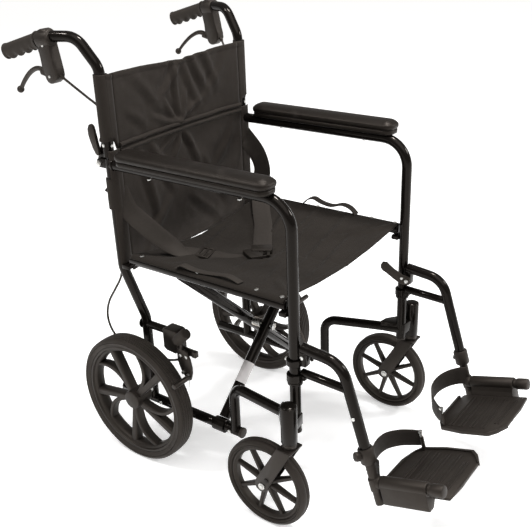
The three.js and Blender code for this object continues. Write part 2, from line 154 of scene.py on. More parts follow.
class Material:
    """A Principled material built up from small procedural layers in object coordinates."""

    def __init__(self, name, colour, roughness, **sockets):
        self.material = bpy.data.materials.new(name)
        self.material.use_nodes = True
        self.tree = self.material.node_tree
        self.shader = self.tree.nodes["Principled BSDF"]
        self.shader.inputs["Base Color"].default_value = (*colour, 1)
        self.shader.inputs["Roughness"].default_value = roughness
        self.shader.inputs["Specular Tint"].default_value = WARM
        for key, value in sockets.items():
            self.shader.inputs[key.replace("_", " ")].default_value = value
        self.colour, self.roughness = colour, roughness
        self.place = self.node("ShaderNodeTexCoord").outputs["Object"]
        self.height = None

    def node(self, kind, **values):
        made = self.tree.nodes.new(kind)
        for key, value in values.items():
            if key in made.inputs:
                made.inputs[key].default_value = value
            else:
                setattr(made, key, value)
        return made

    def link(self, source, target):
        self.tree.links.new(source, target)

    def noise(self, scale, detail=3, place=None):
        made = self.node("ShaderNodeTexNoise", Scale=scale, Detail=detail)
        self.link(place or self.place, made.inputs["Vector"])
        return made.outputs["Fac"]

    def stretched(self, scales):
        made = self.node("ShaderNodeMapping")
        made.inputs["Scale"].default_value = scales
        self.link(self.place, made.inputs["Vector"])
        return made.outputs["Vector"]

    def wave(self, axis, pitch, distortion=0.0):
        made = self.node("ShaderNodeTexWave", bands_direction=axis, Distortion=distortion)
        made.inputs["Scale"].default_value = 0.314 / pitch
        self.link(self.place, made.inputs["Vector"])
        return made.outputs["Fac"]

    def mix(self, fac, low, high):
        """A float from low to high as fac goes from 0 to 1."""
        made = self.node("ShaderNodeMapRange")
        made.inputs["To Min"].default_value, made.inputs["To Max"].default_value = low, high
        self.link(fac, made.inputs["Value"])
        return made.outputs["Result"]

    def math(self, operation, a, b):
        made = self.node("ShaderNodeMath", operation=operation)
        for i, value in enumerate((a, b)):
            if isinstance(value, (int, float)):
                made.inputs[i].default_value = value
            else:
                self.link(value, made.inputs[i])
        return made.outputs[0]

    def tint(self, fac, other):
        """Colour goes from the base colour to another as fac goes from 0 to 1."""
        made = self.node("ShaderNodeMix", data_type="RGBA")
        source = self.shader.inputs["Base Color"]
        if source.links:
            self.link(source.links[0].from_socket, made.inputs[6])
        else:
            made.inputs[6].default_value = (*self.colour, 1)
        made.inputs[7].default_value = (*other, 1)
        self.link(fac, made.inputs[0])
        self.link(made.outputs[2], source)

    def rough(self, fac, low, high):
        self.link(self.mix(fac, low, high), self.shader.inputs["Roughness"])

    def bump(self, height, strength, distance):
        made = self.node("ShaderNodeBump")
        made.inputs["Strength"].default_value = strength
        made.inputs["Distance"].default_value = distance
        self.link(height, made.inputs["Height"])
        if self.height:
            self.link(self.height, made.inputs["Normal"])
        self.height = made.outputs["Normal"]
        self.link(self.height, self.shader.inputs["Normal"])

    def worn(self, scale, low, high, other):
        """Patches where noise is above low take another colour."""
        made = self.node("ShaderNodeMapRange")
        made.inputs["From Min"].default_value, made.inputs["From Max"].default_value = low, high
        self.link(self.noise(scale, 6), made.inputs["Value"])
        self.tint(made.outputs["Result"], other)


def paint():
    m = Material("black_powder_coat", (0.0046, 0.0038, 0.0033), 0.16,
                 Specular_IOR_Level=0.13, Coat_Weight=0.06, Coat_Roughness=0.04)
    m.rough(m.noise(60), 0.1, 0.22)
    m.bump(m.noise(900, 2), 0.12, 0.0003)
    m.worn(35, 0.66, 0.8, (0.012, 0.01, 0.0088))
    return m.material


def plastic(name, colour, low, high, grain=1400):
    m = Material(name, colour, (low + high) / 2, Specular_IOR_Level=0.36)
    m.rough(m.noise(45), low, high)
    m.bump(m.noise(grain, 3), 0.25, 0.0003)
    m.worn(28, 0.6, 0.78, tuple(c * 1.55 for c in colour))
    return m.material


def tyre_rubber():
    m = Material("tyre_rubber", (0.0135, 0.0112, 0.0097), 0.55, Specular_IOR_Level=0.34)
    m.rough(m.noise(30), 0.5, 0.74)
    m.bump(m.noise(1100, 4), 0.3, 0.0004)
    m.worn(18, 0.52, 0.75, (0.022, 0.0185, 0.016))
    return m.material


def arm_vinyl():
    m = Material("arm_vinyl", (0.0086, 0.007, 0.006), 0.36, Specular_IOR_Level=0.2)
    cells = m.node("ShaderNodeTexVoronoi", feature="DISTANCE_TO_EDGE", Scale=850)
    m.link(m.place, cells.inputs["Vector"])
    m.rough(m.noise(40), 0.32, 0.48)
    m.bump(cells.outputs["Distance"], 0.35, 0.0006)
    m.worn(22, 0.58, 0.8, (0.027, 0.023, 0.0205))
    return m.material


def weave(name, across, along, colour, pitch):
    """Plain woven nylon; across and along are the two thread directions."""
    m = Material(name, colour, 0.78, Sheen_Weight=0.035, Sheen_Roughness=0.4,
                 Specular_IOR_Level=0.24)
    warp, weft = m.wave(across, pitch), m.wave(along, pitch)
    threads = m.math("MULTIPLY", warp, weft)
    m.tint(m.mix(threads, 0, 0.5), tuple(c * 1.9 for c in colour))
    m.worn(14, 0.45, 0.8, tuple(c * 1.35 for c in colour))
    m.rough(m.noise(70), 0.68, 0.88)
    m.bump(m.math("ADD", warp, weft), 0.3, 0.0004)
    m.bump(m.noise(120, 4), 0.15, 0.001)
    return m.material


def webbing():
    m = Material("nylon_webbing", (0.0135, 0.0112, 0.0097), 0.66, Sheen_Weight=0.02, Sheen_Roughness=0.4,
                 Specular_IOR_Level=0.3)
    ribs = m.noise(900, 2, m.stretched((1, 1, 0.25)))
    m.tint(m.mix(ribs, 0, 0.7), (0.032, 0.028, 0.025))
    m.rough(m.noise(90), 0.55, 0.8)
    m.bump(ribs, 0.5, 0.0006)
    return m.material


def zinc():
    m = Material("zinc_plate", (0.62, 0.62, 0.6), 0.28, Metallic=1.0)
    m.rough(m.noise(300), 0.18, 0.4)
    m.worn(120, 0.55, 0.75, (0.42, 0.42, 0.4))
    return m.material


def label_paper():
    m = Material("blank_label", (0.62, 0.6, 0.6), 0.45)
    m.rough(m.noise(80), 0.38, 0.55)
    m.worn(40, 0.5, 0.8, (0.5, 0.48, 0.48))
    return m.material


PAINT = paint()
PLASTIC = plastic("black_plastic", (0.0125, 0.0103, 0.0088), 0.4, 0.6)
WHEEL_PLASTIC = plastic("wheel_plastic", (0.0108, 0.009, 0.0077), 0.42, 0.6, 900)
GRIP_RUBBER = plastic("grip_rubber", (0.017, 0.0142, 0.0122), 0.6, 0.8, 1800)
LOCK_STEEL = plastic("lock_steel", (0.0105, 0.0088, 0.0076), 0.3, 0.5, 700)
TYRE = tyre_rubber()
VINYL = arm_vinyl()
SEAT_CLOTH = weave("seat_cloth", "X", "Y", (0.0084, 0.0069, 0.0058), 0.0011)
BACK_CLOTH = weave("back_cloth", "X", "Z", (0.0142, 0.0116, 0.0099), 0.0011)
WEBBING = webbing()
ZINC = zinc()
LABEL = label_paper()


# ---- shapes
def bent(corners, radius, step=radians(8)):
    """Corner points with each inner corner turned into an arc."""
    corners = [Vector(c) for c in corners]
    points = [corners[0]]
    for before, corner, after in zip(corners, corners[1:], corners[2:]):
        back, onward = (before - corner).normalized(), (after - corner).normalized()
        turn = pi - back.angle(onward)
        centre = corner + (back + onward).normalized() * radius / cos(turn / 2)
        spoke = corner + back * radius * tan(turn / 2) - centre
        axis = onward.cross(back).normalized()
        steps = max(2, ceil(turn / step))
        points += [Matrix.Rotation(turn * k / steps, 3, axis) @ spoke + centre for k in range(steps + 1)]
    return points + [corners[-1]]


def smooth_path(points, per_span=6):
    """A Catmull-Rom curve through the points."""
    points = [Vector(p) for p in points]
    ends = [points[0] * 2 - points[1], *points, points[-1] * 2 - points[-2]]
    made = []
    for a, b, c, d in zip(ends, ends[1:], ends[2:], ends[3:]):
        for k in range(per_span):
            t = k / per_span
            made.append(0.5 * ((2 * b) + (c - a) * t + (2 * a - 5 * b + 4 * c - d) * t * t
                               + (3 * b - a - 3 * c + d) * t ** 3))
    return made + [points[-1]]


def turns(count):
    """Angles once round, in equal steps."""
    return [2 * pi * k / count for k in range(count)]


class Piece:
    """Closed shapes gathered into one mesh, in millimetres, made for the left side."""

    def __init__(self):
        self.bm = bmesh.new()

    def loft(self, rings, closed=False):
        """Skins a list of rings of points; an open loft gets flat ends."""
        rows = [[self.bm.verts.new(p) for p in ring] for ring in rings]
        pairs = list(zip(rows, rows[1:])) + ([(rows[-1], rows[0])] if closed else [])
        for a, b in pairs:
            for i in range(len(a)):
                j = (i + 1) % len(a)
                self.bm.faces.new((a[i], a[j], b[j], b[i]))
        if not closed:
            self.bm.faces.new(rows[0][::-1])
            self.bm.faces.new(rows[-1])
        return self

    def tube(self, points, radius, sides=20, flat=1.0):
        """A round bar along points; radius may be a function of the share of the way."""
        points = [Vector(p) for p in points]
        tangents = [(points[min(i + 1, len(points) - 1)] - points[max(i - 1, 0)]).normalized()
                    for i in range(len(points))]
        across = tangents[0].orthogonal().normalized()
        rings = []
        for i, (p, t) in enumerate(zip(points, tangents)):
            across = (across - t * across.dot(t)).normalized()
            other = t.cross(across)
            r = radius(i / (len(points) - 1)) if callable(radius) else radius
            rings.append([p + (across * cos(a) + other * sin(a) * flat) * r for a in turns(sides)])
        return self.loft(rings)

    def rod(self, a, b, radius, sides=24, round_by=0.8):
        """A straight bar with rounded rims."""
        a, b = Vector(a), Vector(b)
        way = (b - a).normalized() * round_by
        ends = [a, a + way * 0.3, a + way, b - way, b - way * 0.3, b]
        sizes = [radius - round_by, radius - round_by * 0.3, radius, radius, radius - round_by * 0.3,
                 radius - round_by]
        across = way.orthogonal().normalized()
        other = way.normalized().cross(across)
        return self.loft([[p + (across * cos(t) + other * sin(t)) * r for t in turns(sides)]
                          for p, r in zip(ends, sizes)])

    def lathe(self, profile, centre, segments=72):
        """A closed profile of (radius, x) turned about an axle along x."""
        cx, cy, cz = centre
        rings = [[Vector((cx + x, cy + r * cos(t), cz + r * sin(t))) for r, x in profile]
                 for t in turns(segments)]
        return self.loft(rings, closed=True)

    def collar(self, section, place):
        """A closed section of (radius, along) turned about a bar; place puts (cos, sin, along) in space."""
        rings = [[Vector(place(r * cos(t), r * sin(t), a)) for r, a in section] for t in turns(40)]
        return self.loft(rings, closed=True)

    def ball(self, centre, radius, scale=(1, 1, 1)):
        matrix = Matrix.Translation(centre) @ Matrix.Diagonal((*[radius * s for s in scale], 1))
        bmesh.ops.create_uvsphere(self.bm, u_segments=24, v_segments=14, radius=1, matrix=matrix)
        return self

    def prism(self, outline, basis, low, high, bevel=1.0):
        """A plate: outline in the basis's first two directions, thickness along the third."""
        first, second, third, origin = (Vector(v) for v in basis)
        edges_before = set(self.bm.edges)
        bottom, top = ([self.bm.verts.new(origin + first * a + second * b + third * c) for a, b in outline]
                       for c in (low, high))
        self.bm.faces.new(bottom[::-1])
        self.bm.faces.new(top)
        for i in range(len(outline)):
            j = (i + 1) % len(outline)
            self.bm.faces.new((bottom[i], bottom[j], top[j], top[i]))
        if bevel:
            edges = [e for e in self.bm.edges if e not in edges_before]
            bmesh.ops.bevel(self.bm, geom=edges, offset=bevel, segments=2, profile=0.5, affect="EDGES",
                            clamp_overlap=True)
        return self

    def block(self, x, y, z, bevel=1.0):
        corners = [(x[0], y[0]), (x[1], y[0]), (x[1], y[1]), (x[0], y[1])]
        return self.prism(corners, UPRIGHT, z[0], z[1], bevel)

    def done(self, name, material, body, s=0, replaces=None, sharp=38, ride=True, sided=True):
        """An object in metres; s is 1 for the left side, -1 for the right, mirrored, and 0 for the middle."""
        for v in self.bm.verts:
            v.co = Vector((v.co.x * (s or 1) * MM, v.co.y * MM + AXLE_Y, v.co.z * MM))
        bmesh.ops.recalc_face_normals(self.bm, faces=self.bm.faces[:])
        for face in self.bm.faces:
            face.smooth = True
        for edge in self.bm.edges:
            edge.smooth = len(edge.link_faces) != 2 or edge.calc_face_angle(0) < radians(sharp)
        side = s if sided else 0
        piece = new_object(named(name, side), self.bm, material)
        dress([named(replaces, side)] if replaces else [])
        if ride:
            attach(piece, named(body, side))
        return piece


def named(name, s):
    """The name with its side; the two braces have no side in their names."""
    return name if name.endswith("_brace") else name + {1: "_left", -1: "_right", 0: ""}[s]


def rods(name, material, body, s, *bars):
    """One piece made of straight bars only, such as screws and caps."""
    p = Piece()
    for bar in bars:
        p.rod(*bar)
    return p.done(name, material, body, s)


def new_object(name, bm, material):
    mesh = bpy.data.meshes.new(name)
    bm.to_mesh(mesh)
    bm.free()
    mesh.materials.append(material)
    return linked(name, mesh)


def dress(replaces):
    if replaces:
        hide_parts(*replaces)


def spot(x, y, z):
    """A place in metres, in the row frame."""
    return (x * MM, y * MM + AXLE_Y, z * MM)


UPRIGHT = ((1, 0, 0), (0, 1, 0), (0, 0, 1), (0, 0, 0))
SIDEWAYS = ((0, 1, 0), (0, 0, 1), (1, 0, 0), (0, 0, 0))


def rounded_box(half_width, half_length, corner, count=8):
    """Outline of a rectangle with round corners, about the origin."""
    outline = []
    for k, (sx, sy) in enumerate(((1, 1), (-1, 1), (-1, -1), (1, -1))):
        for i in range(count + 1):
            angle = pi / 2 * (k + i / count)
            outline.append((sx * (half_width - corner) + corner * cos(angle),
                            sy * (half_length - corner) + corner * sin(angle)))
    return outline


# ---- side frame
REAR_POST = bent([(FRAME_X, REAR_POST_Y, 709), (FRAME_X, REAR_POST_Y - 2, 470), (INNER_X, 0, 335),
                  (INNER_X, 0, RAIL_Z)], 60)
ARM_TUBE = bent([(FRAME_X, REAR_POST_Y, ARM_Z), (FRAME_X, FRONT_POST_Y, ARM_Z),
                 (FRAME_X, FRONT_POST_Y, 221)], 58)
SUPPORT = bent([(INNER_X, -242, RAIL_Z), (INNER_X, -242, 235), (FRAME_X, FRONT_POST_Y, 247)], 32)


def side_frame(s):
    p = Piece()
    for route in (REAR_POST, ARM_TUBE, SUPPORT):
        p.tube(route, TUBE_R)
    p.rod((INNER_X, 95, RAIL_Z), (INNER_X, -258, RAIL_Z), TUBE_R)
    p.rod((CASTER_X, SWIVEL_Y, 218), (CASTER_X, SWIVEL_Y, 300), 16.5, 32)
    p.ball((CASTER_X, SWIVEL_Y, 299), 16.4, (1, 1, 0.32))
    gusset = [(200, -384), (212, -441), (258, -446), (262, -430), (240, -405), (222, -388)]
    p.prism(gusset, UPRIGHT, 236, 262, 2)
    p.rod((INNER_X, 0, 318), (INNER_X, -104, 318), 9)
    ear = [(14, 688), (40, 688), (46, 692), (48, 698), (46, 705), (40, 708), (14, 708)]
    for x in (212, 222.6):
        p.prism(ear, SIDEWAYS, x, x + 3.4, 0.8)
    p.rod((FRAME_X, FRONT_POST_Y, 329), (FRAME_X, FRONT_POST_Y, 335.4), 15)
    for y in ((-419, -402), (-16, 5)):
        p.block((207, 231), y, (471, 481), 2)
    for start, end in (((INNER_X, 12, 318), (INNER_X, 9, 318)), ((FRAME_X, 5, ARM_Z), (FRAME_X, 1, ARM_Z))):
        p.rod(start, end, 13.2, 24, 1.4)
    p.done("frame_tubes", PAINT, "frame", s, "side_frame")
    rods("tube_caps", PLASTIC, "frame", s,
         ((INNER_X, -256, RAIL_Z), (INNER_X, -263, RAIL_Z), 12, 24, 2),
         ((INNER_X, 93, RAIL_Z), (INNER_X, 95.4, RAIL_Z), 11.4, 24, 1),
         ((FRAME_X, FRONT_POST_Y, 224), (FRAME_X, FRONT_POST_Y, 219.5), 11.5, 24, 1.2))
    bolts = Piece()
    bolts.rod((211, 38, 698), (233, 38, 698), 4, 16)
    for low, high in ((209.8, 212.6), (226, 231)):
        bolts.rod((low, 38, 698), (high, 38, 698), 6.5, 6, 0.6)
    for y, z in ((-232, RAIL_Z), (-30, RAIL_Z), (45, RAIL_Z)):
        bolts.rod((INNER_X + 10, y, z), (INNER_X + 13.5, y, z), 4.2, 6, 0.5)
    bolts.rod((FRAME_X + 10, FRONT_POST_Y, 232), (FRAME_X + 12.6, FRONT_POST_Y, 232), 3.2, 16, 0.5)
    for y in (-320, -96):
        bolts.rod((FRAME_X + 6, y, 685.5), (FRAME_X + 6, y, 683), 4, 16, 0.6)
    bolts.done("frame_bolts", ZINC, "frame", s)


def armrest(s):
    """A moulded pad: a flat skirt below, a seam, and a crowned cushion above."""
    centre, middle_y = 227, -209
    half_length = 187
    levels = [(706.5, 2.6), (707.6, 1.6), (714.6, 1.4), (716, 3.6), (717.4, 1.4), (720, -0.4), (723.5, -1),
              (727, -0.4), (730.2, 1.6), (733, 4.6), (735.2, 8.4), (736.8, 12.6), (737.8, 17.4)]
    p = Piece()
    rings = []
    for z, inset in levels:
        outline = rounded_box(25 - inset, half_length - inset, max(20 - inset, 4), 10)
        ring = []
        for x, y in outline:
            crown = 1.5 * (1 - (y / half_length) ** 2) if z > 730 else 0
            ring.append(Vector((centre + x, middle_y + y, z + crown - 1.5 * (z > 730))))
        rings.append(ring)
    p.loft(rings)
    pad = p.done("arm_pad", VINYL, "frame", s, "armrest_pad", sharp=60)


# ---- wheels
def tyre_profile(radius, inner, half, grooves, shoulder):
    """Tread with round grooves, shoulders and flat sidewalls."""
    tread = []
    count = grooves * 8
    for i in range(count + 1):
        share = i / count * 2 - 1
        x = share * (half - shoulder)
        dip = 2.4 * max(0.0, cos(pi * grooves * (share + 1) + pi)) ** 4
        tread.append((radius - 1.2 * share * share - dip, x))
    side_out = [(radius - 3.5, half - shoulder * 0.45), (radius - 6.5, half - 0.5), (radius - 8.5, half),
                (radius - 9.3, half - 1.6), (radius - 10.3, half - 1.6), (radius - 11, half - 0.4),
                (radius - 12, half - 0.6), (inner, half - 3.2)]
    side_in = [(r, -x) for r, x in reversed(side_out)]
    return tread + side_out + side_in


def curved_arm(p, centre, inner, outer, start_angle, end_angle, half_root, half_tip, depth_root, depth_tip,
               lean):
    """A wheel spoke that sweeps from one angle at the hub to another at the rim."""
    cx, cy, cz = centre
    steps = 14
    rings = []
    for i in range(steps + 1):
        share = i / steps
        ease = share ** lean
        radius = inner + (outer - inner) * share
        angle = start_angle + (end_angle - start_angle) * ease
        ahead = start_angle + (end_angle - start_angle) * min(1, share + 0.02) ** lean
        here = Vector((0, radius * cos(angle), radius * sin(angle)))
        there_radius = radius + (outer - inner) * 0.02
        there = Vector((0, there_radius * cos(ahead), there_radius * sin(ahead)))
        along = (there - here).normalized()
        across = Vector((0, -along.z, along.y))
        half = half_root + (half_tip - half_root) * share
        depth = depth_root + (depth_tip - depth_root) * share
        ring = []
        for u, v in rounded_box(half, depth, min(half, depth) * 0.6, 3):
            ring.append(Vector((cx + v, cy, cz)) + here + across * u)
        rings.append(ring)
    p.loft(rings)


def rear_wheel(s):
    centre = (WHEEL_X, 0, WHEEL_R)
    tyre = Piece().lathe(tyre_profile(WHEEL_R, 133, 21, 5, 4.5), centre, 96)
    tyre.done("tyre", TYRE, "wheel", s, "rear_tyre", sharp=70)
    p = Piece()
    rim = [(132.6, 17.2), (130, 18.4), (127, 18), (125, 14), (121, 12.5), (118.5, 9), (117.5, 0), (118.5, -9),
           (121, -12.5), (125, -14), (127, -18), (130, -18.4), (132.6, -17.2)]
    p.lathe(rim, centre, 96)
    hub = [(6.8, -28), (18, -28), (21, -25), (22, 0), (22, 15), (21, 19), (18, 20.5), (0.5, 21), (0.5, 16),
           (6.8, 14)]
    p.lathe(hub, centre, 48)
    turn = 2 * pi / 5
    for k in range(5):
        base = radians(62) + turn * k
        curved_arm(p, centre, 12, 121, base, base, 6.5, 9.5, 11, 12, 1.0)
        curved_arm(p, centre, 12, 121, base - 0.12, base - 0.6, 6, 4.2, 11, 11, 2.1)
    centre_name = named("wheel", s) + "_centre"
    piece = p.done(centre_name, WHEEL_PLASTIC, named("wheel", s), s, sharp=40, sided=False)
    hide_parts(named("rear_wheel", s))


def caster(s):
    centre = (CASTER_X, CASTER_Y, CASTER_R)
    tyre = Piece().lathe(tyre_profile(CASTER_R, 84, 14, 1, 5), centre, 80)
    tyre.done("caster_tyre_round", TYRE, "caster", s, "caster_tyre", sharp=70)
    p = Piece()
    rim = [(83.6, 9.6), (81.5, 10.8), (79, 10.4), (77, 8), (74.5, 6), (74, 0), (74.5, -6), (77, -8),
           (79, -10.4), (81.5, -10.8), (83.6, -9.6)]
    hub = [(4.8, -15.5), (12, -15.5), (14, -13.5), (15, 0), (14, 13.5), (12, 15.5), (4.8, 15.5)]
    p.lathe(rim, centre, 80)
    p.lathe(hub, centre, 40)
    for k in range(8):
        base = 2 * pi * (k + 0.35) / 8
        curved_arm(p, centre, 9, 77, base, base, 5.2, 3.6, 8, 5.5, 1.0)
    p.done("caster_centre", WHEEL_PLASTIC, "caster", s, "caster_wheel", sharp=40)
    y = SWIVEL_Y
    fork = Piece()
    leg = [(y - 17, 206), (y + 17, 206), (-364, 108), (-362.5, 98), (-366, 88), (-376, 83), (-386, 85),
           (-391, 92)]
    for low in (CASTER_X - 20.5, CASTER_X + 17.5):
        fork.prism(leg, SIDEWAYS, low, low + 3, 0.9)
    fork.block((CASTER_X - 20.5, CASTER_X + 20.5), (y - 17, y + 17), (202, 206), 1.2)
    fork.rod((CASTER_X, y, 205.5), (CASTER_X, y, 217.4), 14.5, 32, 1.5)
    fork.done("fork", LOCK_STEEL, "fork", s, "caster_fork")
    axle = Piece()
    axle.rod((CASTER_X - 23, CASTER_Y, CASTER_R), (CASTER_X + 23, CASTER_Y, CASTER_R), 4, 16)
    for sign in (-1, 1):
        x = CASTER_X + sign * 20.7
        axle.rod((x, CASTER_Y, CASTER_R), (x + sign * 2, CASTER_Y, CASTER_R), 7.5, 24, 0.5)
        axle.rod((x + sign * 2, CASTER_Y, CASTER_R), (x + sign * 4.2, CASTER_Y, CASTER_R), 5.2, 6, 0.5)
    axle.done("caster_bolt", ZINC, "fork", s, "caster_axle")
    # Painted shade: a dark glossy disc on the fork leg stands in for the shadowed inside of the fork's open
    # hole.
    rods("fork_hole_painted_shade", PAINT, "fork", s,
         ((CASTER_X + 19, CASTER_Y - 12, CASTER_R + 19), (CASTER_X + 22, CASTER_Y - 12, CASTER_R + 19),
          5.2, 24, 0.6))


# ---- cross brace
def brace(name, near, y, s, body):
    """A bar from one lower rail to the seat rail on side s, with the rail's sleeve at its foot."""
    p = Piece()
    p.rod((-INNER_X + 12, y, RAIL_Z + 11), (FRAME_X - 4, y, SEAT_Z - 4), 12.5, 28, 1)
    p.rod((FRAME_X, SEAT_BACK, SEAT_Z), (FRAME_X, SEAT_FRONT, SEAT_Z), TUBE_R, 24)
    ring = [(12.2, -16), (14.5, -16), (15.5, -15), (15.5, 15), (14.5, 16), (12.2, 16)]
    p.collar(ring, lambda across, up, along: (-INNER_X + across, y + along, RAIL_Z + up))
    p.done(name, PAINT, body, s, near, sided=False)
    bolts = Piece()
    way = (Vector((FRAME_X, y, SEAT_Z)) - Vector((-INNER_X, y, RAIL_Z))).normalized()
    spot = Vector((-INNER_X, y, RAIL_Z)) + way * 505
    front = -14.5 if y < -175 else 14.5
    bolts.rod(spot + Vector((0, front * 0.8, 0)), spot + Vector((0, front, 0)), 5, 6, 0.5)
    bolts.done(f"{name}_bolt", ZINC, body, s, sided=False)
    return way


def cross_brace():
    way = brace("front_brace_bar", "brace_a", -200, 1, "front_brace")
    brace("rear_brace_bar", "brace_b", -150, -1, "rear_brace")
    middle_z = RAIL_Z + (SEAT_Z - RAIL_Z) * INNER_X / (INNER_X + FRAME_X)
    p = Piece()
    p.rod((0, -222, middle_z), (0, -128, middle_z), 4.8, 20)
    p.rod((0, -221, middle_z), (0, -216, middle_z), 9, 6, 0.8)
    p.rod((0, -134, middle_z), (0, -129, middle_z), 9, 6, 0.8)
    p.rod((0, -186, middle_z), (0, -164, middle_z), 10, 24, 0.8)
    p.done("brace_pivot_bolt", ZINC, "front_brace", 0, "pivot_bolt")
    foot = Vector((-INNER_X, -200, RAIL_Z))
    label = Piece().tube([foot + way * d for d in (100, 150)], 12.75, 28)
    label.done("blank_label_wrap", LABEL, "front_brace")


# ---- back canes, handles and brakes
CANE = bent([(FRAME_X, 16, 713), (FRAME_X, 17, 890), (231, 58, 948), (250, 120, 948), (252, 143, 941)], 42)
HANDLE_END = Vector((254, 249, 911))


def cane(s):
    p = Piece().tube(CANE, TUBE_R, 24)
    hinge_plate = [(18, 716), (18, 745), (30, 745), (47, 706), (46, 690), (38, 687), (31, 689), (29, 712)]
    p.prism(hinge_plate, SIDEWAYS, 216.4, 222, 0.8)
    p.done("cane", PAINT, "back", s, "back_cane")
    rods("cane_screws", ZINC, "back", s,
         ((FRAME_X + 10, 17, 738), (FRAME_X + 12.4, 17, 738), 3.6, 16, 0.5),
         ((FRAME_X, 5.8, 736), (FRAME_X, 3.6, 736), 3.4, 16, 0.5))


def grip(s):
    """Rubber grip with four finger waves below and a flared end."""
    start = Vector((252, 143, 941)).lerp(HANDLE_END, 0.01)
    way = (HANDLE_END - start).normalized()
    right = Vector((1, 0, 0))
    up = right.cross(way).normalized()
    if up.z < 0:
        up = -up
    steps, sides = 60, 28
    rings = []
    for i in range(steps + 1):
        t = i / steps
        flare = 2.2 * max(0, 1 - t / 0.06) ** 0.5 + 1.4 * exp(-((t - 0.97) / 0.03) ** 2)
        rounding = sqrt(max(0.0, 1 - max(0, (t - 0.955) / 0.045) ** 2))
        rounding = max(rounding, 0.35)
        ring = []
        for k in range(sides):
            a = 2 * pi * k / sides
            below = max(0.0, -sin(a))
            wave = 2.6 * cos(2 * pi * 4.3 * (t - 0.12)) if 0.14 < t < 0.95 else 0
            r = (13.2 + flare + below ** 2 * (2.2 + wave)) * rounding
            ring.append(start.lerp(HANDLE_END, t) + right * cos(a) * r * 0.94
                        + up * sin(a) * r * 1.08)
        rings.append(ring)
    Piece().loft(rings).done("grip", GRIP_RUBBER, "back", s, "hand_grip", sharp=50)


def brake(s):
    outline = [(105, 930), (100, 905), (94, 887), (92.5, 873), (98, 865), (107, 858), (116, 857), (122, 860),
               (127, 867), (128, 886), (133, 905), (139, 921), (138, 934), (138, 954), (133, 960),
               (122, 963.5), (112, 961), (106, 952)]
    p = Piece().prism(outline, SIDEWAYS, 238, 262, 5)
    p.rod((249, 106, 945.5), (252, 139, 940.5), 17.2, 40, 2.4)
    p.done("brake_body", PLASTIC, "back", s, "brake_housing", sharp=50)
    rods("brake_screws", ZINC, "back", s,
         ((263.8, 121, 932), (261.4, 121, 932), 3.4, 16, 0.6),
         ((263.4, 113, 872), (261.4, 113, 872), 3, 16, 0.6))
    rods("cable_nozzle", PLASTIC, "back", s,
         ((250.5, 96, 875), (247.6, 88.5, 867.6), 3.9, 20, 0.8))
    lever = Piece()
    route = smooth_path([(250, 141, 878), (250, 152, 882.5), (250, 168, 881), (249, 190, 870),
                         (247.5, 212, 852), (246, 229, 834)], 6)
    lever.tube(route, lambda t: 6.2 - 2.0 * t, 18, 0.8)
    lever.ball((246, 230.5, 833), 7.6)
    lever.rod((243, 141, 878), (257, 141, 878), 6.4, 28, 1)
    lever.prism([(124, 880), (152, 886), (150, 872), (124, 866)], SIDEWAYS, 246, 254, 1.2)
    lever.done("lever_arm", PLASTIC, "lever", s, "brake_lever", sharp=45)


def back_release(s):
    outline = [(34, 716), (38, 713), (44, 715), (50, 728), (56, 740), (60, 754), (60, 767), (56, 775),
               (50, 778), (44, 774), (41, 764), (40, 752), (38, 740), (35, 728)]
    p = Piece().prism(outline, SIDEWAYS, 222.8, 230, 2)
    p.done("release_paddle", PLASTIC, "release", s, "back_release_lever")


CABLE = [(249, 91, 871), (237, 71, 850), (225, 52.5, 830), (214, 36, 811), (208, 32, 788),
         (206.5, 31.5, 740), (206.5, 31.5, 680), (206.5, 31, 620), (206.5, 31, 560), (206.5, 30.5, 500),
         (205.5, 31, 465), (203.5, 42, 430), (202, 66, 395), (201, 92, 357), (200, 104, 322), (200, 100, 292),
         (200, 82, 268), (200, 50, 256), (200, 10, 251), (200, -40, 252), (200, -80, 258), (199, -104, 266)]


def cable(s):
    p = Piece().tube(smooth_path(CABLE, 8), 2.5, 12)
    piece = p.done("cable", PLASTIC, "frame", s, "brake_cable", ride=False)
    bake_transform(piece)


# ---- wheel lock
def wheel_lock(s):
    p = Piece()
    outline = [(-62, 329), (-62, 284), (-70, 278), (-96, 276), (-104, 282), (-104, 329), (-99, 332),
               (-67, 332)]
    p.prism(outline, SIDEWAYS, 166, 196.2, 2)
    p.rod((181, -83, 275.5), (181, -83, 271.5), 6, 6, 0.6)
    p.prism([(-104, 302), (-150, 300), (-156, 292), (-150, 284), (-104, 280)], SIDEWAYS, 190.5, 195.5, 1)
    p.block((190, 201), (-158, -148), (286, 300), 1)
    p.done("lock_clamp", LOCK_STEEL, "frame", s, "wheel_lock_bracket")
    lock = Piece()
    plate = [(-112, 300), (-116, 303), (-134, 302), (-140, 298), (-147, 282), (-151, 262), (-150, 250),
             (-146, 232), (-140, 229), (-134, 230), (-120, 250), (-112, 272)]
    lock.prism(plate, SIDEWAYS, 203, 208, 1)
    lock.rod((203, -140.2, 238.2), (256, -140.2, 238.2), 6, 28, 1.2)
    lock.tube([(205.5, -122, 298), (205.5, -124, 312), (205.5, -127, 330)], 4.2, 16)
    lock.done("lock_plate", LOCK_STEEL, "lock", s, "wheel_lock")
    rods("lock_knob", GRIP_RUBBER, "lock", s,
         ((205.5, -112, 318), (205.5, -142, 346), 12.5, 36, 3.5))
    bolts = Piece()
    for y, z in ((-122, 287), (-138, 287)):
        bolts.rod((207.8, y, z), (210.6, y, z), 4.4, 6, 0.5)
    bolts.rod((207.8, -140, 244), (211, -140, 244), 3.6, 12, 0.5)
    bolts.rod((206, -126, 246), (211, -126, 246), 3.8, 12, 0.5)
    bolts.done("lock_bolts", ZINC, "lock", s)
    wire = Piece().tube(smooth_path([(199, -104, 266), (201, -124, 256), (202, -133, 240), (202, -136, 222),
                                     (202, -133, 204)], 6), 0.7, 8)
    wire.done("brake_wire", ZINC, "lock", s)


